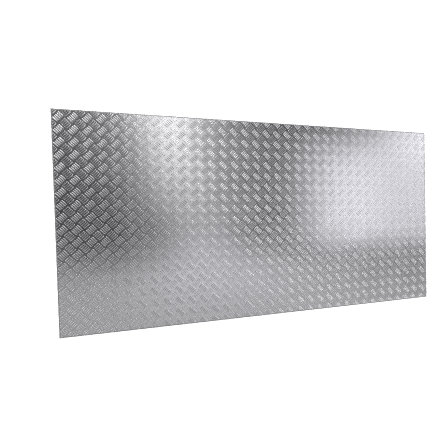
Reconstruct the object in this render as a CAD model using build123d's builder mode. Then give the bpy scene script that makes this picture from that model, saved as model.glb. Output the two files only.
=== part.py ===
from build123d import *
import math
import os

# Tread plate: one rolled sheet of aluminium, cut to a stock rectangle.
# The sheet lies flat with its tread side up. X runs along the sheet, Y across
# it, and the origin is the centre of the underside. Lengths are millimetres.

# Stock size of the sheet
sheet_length = 2000.0
sheet_width = 1000.0
sheet_thickness = 2.5

# Cut edge, from the tread side down: the arris that the blade rolled over,
# a smooth upright band, and a torn face that leans in towards the underside
rollover_radius = 0.3
smooth_band_height = 0.9
torn_face_angle = 6.0

# Corners in plan, blunted by handling
corner_radius = 0.8

# The torn face takes the height that the arris and the smooth band leave
torn_height = sheet_thickness - rollover_radius - smooth_band_height
torn_setback = torn_height * math.tan(math.radians(torn_face_angle))

os.makedirs("parts", exist_ok=True)


def runs_up(edge):
    return abs((edge @ 1 - edge @ 0).Z) > 0.5 * edge.length


with BuildPart() as tread_plate:
    # Torn face: the underside's smaller outline widens to the full one
    with BuildSketch(Plane.XY) as underside_outline:
        Rectangle(sheet_length - 2 * torn_setback, sheet_width - 2 * torn_setback)
    with BuildSketch(Plane.XY.offset(torn_height)) as full_outline:
        Rectangle(sheet_length, sheet_width)
    loft(ruled=True)

    # Smooth band, up to the tread side
    extrude(full_outline.sketch, amount=sheet_thickness - torn_height)

    # Blunted corners, then the rolled-over arris round the tread side
    fillet(tread_plate.edges().filter_by(runs_up), corner_radius)
    tread_face = tread_plate.faces().sort_by(Axis.Z)[-1]
    fillet(tread_face.edges(), rollover_radius)

tread_plate.part.label = "tread_plate"
export_step(tread_plate.part, "parts/tread_plate.step")
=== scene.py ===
import math

import bmesh
import bpy
import numpy as np
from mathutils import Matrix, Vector


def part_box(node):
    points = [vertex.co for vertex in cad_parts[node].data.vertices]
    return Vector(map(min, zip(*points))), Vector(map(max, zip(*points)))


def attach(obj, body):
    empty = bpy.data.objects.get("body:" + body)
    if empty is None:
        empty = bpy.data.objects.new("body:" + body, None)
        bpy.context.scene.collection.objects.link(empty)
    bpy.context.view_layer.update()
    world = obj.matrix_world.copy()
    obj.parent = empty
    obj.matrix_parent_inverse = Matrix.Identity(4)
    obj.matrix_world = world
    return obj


# A rolled aluminium tread plate, lying flat with its tread side up. The frame holds
# the bare sheet. This script adds the raised bars, the metal's finish, the floor, the
# studio lights and the camera. Lengths are metres, and the sheet is centred on x and y.
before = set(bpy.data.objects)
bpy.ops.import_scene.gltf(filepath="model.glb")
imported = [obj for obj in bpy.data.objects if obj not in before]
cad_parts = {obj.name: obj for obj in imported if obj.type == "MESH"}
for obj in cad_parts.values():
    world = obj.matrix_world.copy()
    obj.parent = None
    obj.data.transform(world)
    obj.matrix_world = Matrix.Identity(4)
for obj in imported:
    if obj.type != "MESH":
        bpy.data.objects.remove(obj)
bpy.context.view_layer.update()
sheet_low, sheet_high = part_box("tread_plate")
tread_level = sheet_high.z

# Tread: groups of five parallel bars. Groups of one direction form a grid, and
# groups of the other direction stand in the middle of its cells.
cell_length = 0.0579
cell_width = 0.0550
bars_in_group = 5
bar_pitch = 0.0083
bar_length = 0.0285
bar_width = 0.0056
bar_height = 0.0015
bar_root = 0.0002
bar_angle = math.radians(45)

# Pad: the low web under a group, which fills the foot of the grooves between its bars
pad_height = 0.0006
pad_inset = 0.0003
pad_rim = 0.0004

# Where the cuts fall on the rolled pattern: the first group's distance from the
# left and far edges, how many cells past the edges are tried, and how near to a cut
# a point counts as on it
first_column_inset = 0.0266
first_row_inset = 0.0325
spare_cells = 2
cut_tolerance = 1e-7

# Bars differ a little, as rollers wear
roll_wear_seed = 11
height_spread = 0.04
crest_drift = 0.00012

# Meshes: the points in one quarter of an outline, in degrees, how square its ends and
# its sides are (near 0 is square, 1 is an ellipse), the angle from which two faces
# meet in a sharp edge, and how many meshes share the tread
quarter_degrees = (0, 24, 55, 90)
bar_squareness = (0.55, 0.85)
pad_squareness = (0.3, 0.3)
sharp_angle = math.radians(62)
bar_pieces = 4

# Levels of a bar from its buried root to its crest: height, then how far the
# outline draws in at the ends and at the sides
bar_levels = (
    (-bar_root, 0.0, 0.0),
    (0.45 * bar_height, 0.0006, 0.00045),
    (0.80 * bar_height, 0.0013, 0.00100),
    (1.00 * bar_height, 0.0024, 0.00200),
)


def plan_points(squareness):
    """Outline seen from above, once round, with x and y from -1 to 1."""
    end_shape, side_shape = squareness
    quarter = [math.radians(angle) for angle in quarter_degrees]
    angles = quarter + [math.pi - angle for angle in quarter[-2::-1]]
    angles += [math.pi + angle for angle in quarter[1:]]
    angles += [2 * math.pi - angle for angle in quarter[-2:0:-1]]
    outline = []
    for angle in angles:
        along = math.copysign(abs(math.cos(angle)) ** end_shape, math.cos(angle))
        across = math.copysign(abs(math.sin(angle)) ** side_shape, math.sin(angle))
        outline.append((along, across))
    return np.array(outline)


def stacked(outline, rings):
    """Vertices and faces of a closed form through rings of height, half length, half width."""
    count = len(outline)
    levels = []
    for height, half_length, half_width in rings:
        plan = outline * (half_length, half_width)
        levels.append(np.column_stack([plan, np.full(count, height)]))
    faces = [list(range(count))[::-1]]
    for ring in range(len(rings) - 1):
        low = ring * count
        high = low + count
        for step in range(count):
            after = (step + 1) % count
            faces.append([low + step, low + after, high + after, high + step])
    crest = (len(rings) - 1) * count
    faces.append([crest + step for step in range(count)])
    return np.vstack(levels), faces


def bar_template():
    """One bar that lies along X."""
    rings = []
    for height, end, side in bar_levels:
        rings.append((height, bar_length / 2 - end, bar_width / 2 - side))
    return stacked(plan_points(bar_squareness), rings)


def pad_template():
    """One pad, for a group whose bars lie along X."""
    half_length = bar_length / 2 - pad_inset
    half_width = (bars_in_group - 1) / 2 * bar_pitch + bar_width / 2 - pad_inset
    top_length = half_length - pad_height
    top_width = half_width - pad_height
    rings = [(-bar_root, half_length, half_width),
             (pad_height, top_length, top_width),
             (pad_height, top_length - pad_rim, top_width - pad_rim)]
    return stacked(plan_points(pad_squareness), rings)


def group_places():
    """Centre and direction of the groups on and around the sheet, as rows of x, y, angle."""
    columns = int((sheet_high.x - sheet_low.x) / cell_length) + 1
    rows = int((sheet_high.y - sheet_low.y) / cell_width) + 1
    places = []
    for half_step, angle in ((0.0, -bar_angle), (0.5, bar_angle)):
        for column in range(-spare_cells, columns + spare_cells):
            for row in range(-spare_cells, rows + spare_cells):
                x = sheet_low.x + first_column_inset + (column + half_step) * cell_length
                y = sheet_high.y - first_row_inset - (row + half_step) * cell_width
                places.append((x, y, angle))
    return np.array(places)


def bar_places(groups):
    """Centre and direction of every bar of the groups."""
    across_group = (np.arange(bars_in_group) - (bars_in_group - 1) / 2) * bar_pitch
    x, y, angle = groups[:, 0], groups[:, 1], groups[:, 2]
    bars = [np.column_stack([x - np.sin(angle) * offset, y + np.cos(angle) * offset, angle])
            for offset in across_group]
    return np.stack(bars, axis=1).reshape(-1, 3)


def worn(template, count, rng):
    """Copies of a bar that differ a little in height and in the place of the crest."""
    shapes = np.repeat(template[None], count, axis=0)
    above = template[None, :, 2] > 0
    shapes[:, :, 2] *= np.where(above, rng.normal(1.0, height_spread, (count, 1)), 1.0)
    lift = np.clip(template[None, :, 2] / bar_height, 0, 1)
    shapes[:, :, 1] += lift * rng.normal(0.0, crest_drift, (count, 1))
    return shapes


def stood(places, shapes):
    """Vertices of each shape, turned and moved to its place on the sheet."""
    cos = np.cos(places[:, 2])[:, None]
    sin = np.sin(places[:, 2])[:, None]
    x = places[:, 0][:, None] + shapes[:, :, 0] * cos - shapes[:, :, 1] * sin
    y = places[:, 1][:, None] + shapes[:, :, 0] * sin + shapes[:, :, 1] * cos
    return np.stack([x, y, shapes[:, :, 2] + tread_level], axis=2)


def join_shapes(bm, corners, faces):
    """Adds each shape's faces to bm."""
    for shape in corners:
        verts = [bm.verts.new(point) for point in shape]
        for face in faces:
            bm.faces.new([verts[index] for index in face])


def cut_flush(bm, point, outward):
    """Cuts away what stands past a sheared edge and closes the cut."""
    parts = bm.verts[:] + bm.edges[:] + bm.faces[:]
    bmesh.ops.bisect_plane(bm, geom=parts, dist=cut_tolerance,
                           plane_co=point, plane_no=outward, clear_outer=True)
    open_edges = [edge for edge in bm.edges if edge.is_boundary]
    bmesh.ops.holes_fill(bm, edges=open_edges, sides=0)


def lies_on_sheet(corners):
    """Two arrays that say which shapes touch the sheet, and which of them lie whole on it."""
    low, high = corners.min(axis=1), corners.max(axis=1)
    touches = (high[:, 0] > sheet_low.x) & (low[:, 0] < sheet_high.x)
    touches &= (high[:, 1] > sheet_low.y) & (low[:, 1] < sheet_high.y)
    whole = (low[:, 0] > sheet_low.x) & (high[:, 0] < sheet_high.x)
    whole &= (low[:, 1] > sheet_low.y) & (high[:, 1] < sheet_high.y)
    return touches, whole


def mesh_of(relief):
    """One mesh of pads and bars, cut flush where they pass a sheared edge."""
    bm = bmesh.new()
    for corners, faces in relief:
        touches, whole = lies_on_sheet(corners)
        join_shapes(bm, corners[touches & ~whole], faces)
    cut_flush(bm, sheet_low, (-1, 0, 0))
    cut_flush(bm, sheet_high, (1, 0, 0))
    cut_flush(bm, sheet_low, (0, -1, 0))
    cut_flush(bm, sheet_high, (0, 1, 0))
    for corners, faces in relief:
        touches, whole = lies_on_sheet(corners)
        join_shapes(bm, corners[whole], faces)
    bmesh.ops.recalc_face_normals(bm, faces=bm.faces[:])
    mesh = bpy.data.meshes.new("tread_bars")
    bm.to_mesh(mesh)
    bm.free()
    mesh.shade_smooth()
    mesh.set_sharp_from_angle(angle=sharp_angle)
    return mesh


def make_bars(material):
    """The tread, as joined meshes that each cover one stretch of the sheet."""
    rng = np.random.default_rng(roll_wear_seed)
    groups = group_places()
    bars = bar_places(groups)
    pad, pad_faces = pad_template()
    bar, bar_faces = bar_template()
    relief = [(groups, stood(groups, np.repeat(pad[None], len(groups), axis=0)), pad_faces),
              (bars, stood(bars, worn(bar, len(bars), rng)), bar_faces)]
    stretch = (sheet_high.x - sheet_low.x) / bar_pieces
    for number in range(bar_pieces):
        here = []
        for places, corners, faces in relief:
            part = np.clip((places[:, 0] - sheet_low.x) // stretch, 0, bar_pieces - 1)
            here.append((corners[part == number], faces))
        mesh = mesh_of(here)
        mesh.materials.append(material)
        piece = bpy.data.objects.new(f"tread_bars_{number + 1}", mesh)
        bpy.context.scene.collection.objects.link(piece)
        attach(piece, "root")


# Node helpers. The first starts a material, and the others add nodes to a tree.


def new_material(name):
    """A material, its empty node tree and the socket that takes its shader."""
    material = bpy.data.materials.new(name)
    material.use_nodes = True
    tree = material.node_tree
    tree.nodes.clear()
    output = tree.nodes.new("ShaderNodeOutputMaterial")
    return material, tree, output.inputs["Surface"]


def object_place(tree):
    """The point on the object, in its own coordinates."""
    return tree.nodes.new("ShaderNodeTexCoord").outputs["Object"]


def along_axes(tree, place):
    """A point's x, y and z, by the names X, Y and Z."""
    apart = tree.nodes.new("ShaderNodeSeparateXYZ")
    tree.links.new(place, apart.inputs[0])
    return apart.outputs


def chained(tree, operation, values, clamp=False):
    """The sum, product or largest of some values. Clamped, it stays between 0 and 1."""
    total = values[0]
    for value in values[1:]:
        step = tree.nodes.new("ShaderNodeMath")
        step.operation = operation
        step.use_clamp = clamp
        tree.links.new(total, step.inputs[0])
        tree.links.new(value, step.inputs[1])
        total = step.outputs[0]
    return total


def times(tree, value, factor):
    """A value times a plain number."""
    step = tree.nodes.new("ShaderNodeMath")
    step.operation = "MULTIPLY"
    step.inputs[1].default_value = factor
    tree.links.new(value, step.inputs[0])
    return step.outputs[0]


def ramp(tree, value, start, end, low=0.0, high=1.0, shape="LINEAR"):
    """From low, where value is at start, to high, where it is at end, and level beyond."""
    step = tree.nodes.new("ShaderNodeMapRange")
    step.interpolation_type = shape
    for name, number in (("From Min", start), ("From Max", end), ("To Min", low), ("To Max", high)):
        step.inputs[name].default_value = number
    tree.links.new(value, step.inputs["Value"])
    return step.outputs["Result"]


def noise(tree, place, scale, detail):
    """Cloudy values between 0 and 1."""
    step = tree.nodes.new("ShaderNodeTexNoise")
    step.inputs["Scale"].default_value = scale
    step.inputs["Detail"].default_value = detail
    tree.links.new(place, step.inputs["Vector"])
    return step.outputs["Fac"]


def bump(tree, height, depth):
    """A bump node that lifts the surface by height times depth."""
    step = tree.nodes.new("ShaderNodeBump")
    step.inputs["Strength"].default_value = 1.0
    step.inputs["Distance"].default_value = depth
    tree.links.new(height, step.inputs["Height"])
    return step


def glowing(tree, base, strength, colour):
    """A base node's shader with a glow added."""
    glow = tree.nodes.new("ShaderNodeEmission")
    glow.inputs["Color"].default_value = (*colour, 1)
    tree.links.new(strength, glow.inputs["Strength"])
    both = tree.nodes.new("ShaderNodeAddShader")
    tree.links.new(base.outputs["BSDF"], both.inputs[0])
    tree.links.new(glow.outputs["Emission"], both.inputs[1])
    return both.outputs["Shader"]


# Metal: the waves of a sheet that lies free, the fine grain along X, and patches that
# mirror less sharply. The roughness goes from its least to its most while grain and
# patches together go through mottle_range.
wave_depth = 0.0014
wave_scale = 5.0
wave_detail = 1.0
grain_scale = (40, 900, 900)
grain_detail = 3.0
patch_scale = 7.0
patch_detail = 4.0
mottle_range = (0.7, 1.3)

# The rim along the sheet's edges, which the shears left dull, and whose colour is darkened there as
# painted shade along the cut edges
rim_width = 0.006
rim_roughness = 0.35
painted_rim_shade = 0.60


def near_edge(tree, place):
    """0 over the sheet, rising to 1 along its cut edges."""
    axes = along_axes(tree, place)
    rises = []
    for axis, half_size in (("X", sheet_high.x), ("Y", sheet_high.y)):
        outwards = tree.nodes.new("ShaderNodeMath")
        outwards.operation = "ABSOLUTE"
        tree.links.new(axes[axis], outwards.inputs[0])
        start = half_size - rim_width
        end = half_size - rim_width / 2
        rises.append(ramp(tree, outwards.outputs[0], start, end, shape="SMOOTHSTEP"))
    return chained(tree, "MAXIMUM", rises)


def colour_with_painted_rim_shade(tree, colour, rim):
    """The metal's colour, with painted shade that darkens it along the rim."""
    mix = tree.nodes.new("ShaderNodeMix")
    mix.data_type = "RGBA"
    mix.inputs["A"].default_value = (*colour, 1)
    # painted shade along the rim: the metal's colour darkened by the rim's shade factor
    mix.inputs["B"].default_value = (*[painted_rim_shade * part for part in colour], 1)
    tree.links.new(rim, mix.inputs["Factor"])
    return mix.outputs["Result"]


def aluminium(name, colour, least_roughness, most_roughness, grain_depth):
    """Mill-finish aluminium, with grain, mottled roughness, slow waves, a dull rim and painted
    shade along the rim.
    """
    material, tree, surface = new_material(name)
    place = object_place(tree)
    rim = near_edge(tree, place)
    stretched = tree.nodes.new("ShaderNodeMapping")
    stretched.inputs["Scale"].default_value = grain_scale
    tree.links.new(place, stretched.inputs["Vector"])
    grain = noise(tree, stretched.outputs["Vector"], 1.0, grain_detail)
    patches = noise(tree, place, patch_scale, patch_detail)
    mottle = chained(tree, "ADD", [grain, patches])
    roughness = ramp(tree, mottle, *mottle_range, least_roughness, most_roughness)
    dulled = chained(tree, "ADD", [roughness, times(tree, rim, rim_roughness)])

    waves = bump(tree, noise(tree, place, wave_scale, wave_detail), wave_depth)
    grain_on_waves = bump(tree, grain, grain_depth)
    tree.links.new(waves.outputs["Normal"], grain_on_waves.inputs["Normal"])

    metal = tree.nodes.new("ShaderNodeBsdfPrincipled")
    metal.inputs["Metallic"].default_value = 1.0
    # painted shade: the base colour darkens along the cut edges
    tree.links.new(colour_with_painted_rim_shade(tree, colour, rim), metal.inputs["Base Color"])
    tree.links.new(dulled, metal.inputs["Roughness"])
    tree.links.new(grain_on_waves.outputs["Normal"], metal.inputs["Normal"])
    tree.links.new(metal.outputs["BSDF"], surface)
    return material


# Studio: a glowing pale floor, an even sky, and a dull ceiling that the metal mirrors
# as its darker greys
white = (1.0, 1.0, 1.0)
lilac = (1.0, 0.99, 1.03)
floor_size = 60.0
floor_gap = 0.0001
floor_glow = 0.78
floor_grey = 0.85
world_ambient = 0.36
world_seen = 1.0
ceiling_height = 2.2
ceiling_size = 30.0
ceiling_glow = 0.049


def seen_directly(tree):
    """1 for rays from the camera, from a reflection or through glass, otherwise 0."""
    path = tree.nodes.new("ShaderNodeLightPath")
    kinds = ("Is Camera Ray", "Is Glossy Ray", "Is Transmission Ray")
    return chained(tree, "ADD", [path.outputs[kind] for kind in kinds], clamp=True)


def make_square(name, side, centre, material):
    """A flat square of the studio."""
    half = side / 2
    corners = [(-half, -half, 0), (half, -half, 0), (half, half, 0), (-half, half, 0)]
    mesh = bpy.data.meshes.new(name)
    mesh.from_pydata(corners, [], [(0, 1, 2, 3)])
    mesh.materials.append(material)
    square = bpy.data.objects.new(name, mesh)
    square.location = centre
    bpy.context.scene.collection.objects.link(square)
    return square


def only_mirrored(square):
    """Keeps a square out of the camera's direct view and out of the way of light."""
    square.visible_camera = False
    square.visible_shadow = False


def make_floor():
    """A pale floor that shows white, and greyer where the sheet shades it."""
    material, tree, surface = new_material("floor")
    paint = tree.nodes.new("ShaderNodeBsdfDiffuse")
    paint.inputs["Color"].default_value = (floor_grey, floor_grey, floor_grey, 1)
    strength = times(tree, seen_directly(tree), floor_glow)
    tree.links.new(glowing(tree, paint, strength, white), surface)
    make_square("floor", floor_size, (0, 0, sheet_low.z - floor_gap), material)


def make_world():
    """A sky that shows white and lights the scene less."""
    world = bpy.data.worlds.new("studio")
    bpy.context.scene.world = world
    world.use_nodes = True
    tree = world.node_tree
    tree.nodes.clear()
    sky = tree.nodes.new("ShaderNodeBackground")
    sky.inputs["Color"].default_value = (*white, 1)
    strength = ramp(tree, seen_directly(tree), 0.0, 1.0, world_ambient, world_seen)
    tree.links.new(strength, sky.inputs["Strength"])
    output = tree.nodes.new("ShaderNodeOutputWorld")
    tree.links.new(sky.outputs["Background"], output.inputs["Surface"])


def make_ceiling():
    """A dull ceiling, which shows only in the metal."""
    material, tree, surface = new_material("ceiling")
    glow = tree.nodes.new("ShaderNodeEmission")
    glow.inputs["Strength"].default_value = ceiling_glow
    tree.links.new(glow.outputs["Emission"], surface)
    only_mirrored(make_square("ceiling", ceiling_size, (0, 0, ceiling_height), material))


# Camera: a wide lens close above the left half of the sheet. Lens and sensor are in
# millimetres, the shift in widths of the picture, and the filter in pixels.
camera_place = Vector((-0.4854, -0.0154, 1.2278))
camera_turn = [math.radians(angle) for angle in (-0.6356, -12.7708, -1.5779)]
camera_lens = 20.0
camera_sensor = 36.0
camera_shift = (-0.0200, 0.0074)
pixel_filter = 1.2


def make_camera():
    data = bpy.data.cameras.new("camera")
    data.lens = camera_lens
    data.sensor_width = camera_sensor
    data.shift_x, data.shift_y = camera_shift
    camera = bpy.data.objects.new("camera", data)
    camera.location = camera_place
    camera.rotation_euler = camera_turn
    bpy.context.scene.collection.objects.link(camera)
    bpy.context.scene.camera = camera


# Cards under the ceiling stand for the photographer's studio. Each row is a name, the
# ends of the card's mirror image on the sheet in x and in y, how far the image fades
# out at its left, right, near and far rims, its strength and its colour.

# Lamps, windows and walls whose image is outside the sheet, so that it is mostly the
# flanks of the bars that show them
flank_cards = (
    ("overhead_lamp", (-0.75, -0.05), (0.60, 1.45), (0.2, 0.2, 0.3, 0.3), 1.50, white),
    ("overhead_spill", (-1.10, 0.30), (0.65, 1.70), (0.5, 0.5, 0.3, 0.3), 0.50, white),
    ("upper_left_lamp", (-1.15, -0.60), (0.70, 1.40), (0.2, 0.2, 0.2, 0.2), 6.50, white),
    ("left_window", (-2.40, -1.24), (-0.32, 0.45), (0.3, 0.18, 0.25, 0.25), 2.30, white),
    ("far_wall", (-1.75, 1.25), (1.50, 3.70), (0.9, 0.9, 0.7, 0.7), 2.50, white),
    ("near_left", (-2.60, -1.10), (-2.00, -0.60), (0.4, 0.4, 0.4, 0.4), 1.20, white),
    ("near_right", (0.95, 2.60), (-2.40, -0.80), (0.4, 0.4, 0.4, 0.4), 2.70, white),
    ("right_window", (2.00, 6.50), (-4.00, -0.50), (0.6, 1.0, 0.8, 0.5), 3.20, white),
)

# The bright streak down the left half
streak_cards = (
    ("streak_top", (-0.72, -0.30), (0.10, 1.10), (0.22, 0.20, 0.6, 0.4), 1.60, white),
    ("streak_middle", (-0.70, -0.20), (-0.08, 0.50), (0.25, 0.25, 0.3, 0.3), 0.50, white),
    ("streak_low", (-0.61, -0.06), (-0.24, 0.20), (0.24, 0.34, 0.1, 0.25), 0.36, lilac),
    ("streak_halo", (-0.85, 0.20), (-0.18, 0.75), (0.4, 0.5, 0.3, 0.4), 0.18, white),
    ("upper_halo", (-1.25, 0.00), (0.05, 0.90), (0.5, 0.5, 0.35, 0.3), 0.09, white),
)

# The soft box at the right
box_cards = (
    ("box", (0.01, 3.00), (-0.19, 0.56), (0.5, 0.9, 0.08, 0.26), 0.77, lilac),
    ("box_left", (0.02, 0.80), (-0.18, 0.50), (0.4, 0.35, 0.1, 0.26), 0.34, lilac),
    ("box_top", (0.55, 3.00), (0.25, 1.10), (0.4, 0.9, 0.3, 0.4), 1.15, lilac),
    ("box_right", (1.15, 2.80), (0.00, 0.70), (0.3, 0.4, 0.2, 0.3), 1.50, lilac),
)

# The pale floor in front of the upright sheet, which its lower third mirrors
floor_cards = (
    ("floor_flat", (-6.00, 6.00), (-6.00, -0.18), (0.3, 0.3, 0.3, 0.1), 0.17, white),
    ("floor_main", (-1.75, 0.95), (-1.20, -0.16), (1.0, 1.0, 0.9, 0.05), 0.22, lilac),
    ("floor_middle", (-0.82, 0.25), (-0.60, -0.05), (0.4, 0.6, 0.4, 0.1), 0.32, lilac),
    ("floor_right", (-0.20, 3.20), (-2.00, -0.30), (0.8, 0.8, 0.8, 0.2), 0.18, lilac),
)

# The lowest card's height, how far each card is above the one before, and the side of
# a card's mesh, which runs from -1 to 1 before the card is scaled
card_height = 2.0
card_gap = 0.004
card_side = 2.0


def card_cover(tree, half_x, half_y, fades):
    """1 over a card whose mesh runs from -1 to 1, falling to 0 at its rims."""
    left, right, near, far = fades
    axes = along_axes(tree, object_place(tree))
    rims = (("X", -1, left / half_x), ("X", 1, right / half_x),
            ("Y", -1, near / half_y), ("Y", 1, far / half_y))
    covers = []
    for axis, side, share in rims:
        inner = side * (1 - share)
        covers.append(ramp(tree, axes[axis], inner, side, 1.0, 0.0, shape="SMOOTHSTEP"))
    return chained(tree, "MULTIPLY", covers)


def soft_card(name, across, along, fades, strength, colour, height):
    """A glowing card whose mirror image lies between the ends across and along on the sheet.

    The card is larger than its image, by as much as the rays from the camera have
    spread at its height.
    """
    half_x = (across[1] - across[0]) / 2
    half_y = (along[1] - along[0]) / 2
    material, tree, surface = new_material(name)
    clear = tree.nodes.new("ShaderNodeBsdfTransparent")
    level = times(tree, card_cover(tree, half_x, half_y, fades), strength)
    tree.links.new(glowing(tree, clear, level, colour), surface)

    spread = (height + camera_place.z) / (camera_place.z - tread_level)
    x = camera_place.x + (sum(across) / 2 - camera_place.x) * spread
    y = camera_place.y + (sum(along) / 2 - camera_place.y) * spread
    card = make_square(name, card_side, (x, y, height), material)
    card.scale = (half_x * spread, half_y * spread, 1)
    only_mirrored(card)


def make_cards():
    """Hangs the cards one above the other, so that none coincide."""
    for number, card in enumerate(flank_cards + streak_cards + box_cards + floor_cards):
        soft_card(*card, card_height + number * card_gap)


# The bars are a little brighter and smoother than the sheet between them
sheet_metal = aluminium("sheet_metal", colour=(0.78, 0.78, 0.80), least_roughness=0.17,
                        most_roughness=0.27, grain_depth=0.00002)
bar_metal = aluminium("bar_metal", colour=(0.82, 0.82, 0.84), least_roughness=0.16,
                      most_roughness=0.26, grain_depth=0.00001)
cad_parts["tread_plate"].data.materials[0] = sheet_metal
make_bars(bar_metal)
make_camera()
make_world()
make_floor()
make_ceiling()
make_cards()
bpy.context.scene.view_settings.view_transform = "Standard"

# The denoiser would smear the bars, and a narrow pixel filter keeps them crisp
bpy.context.scene.cycles.use_denoising = False
bpy.context.scene.cycles.filter_width = pixel_filter
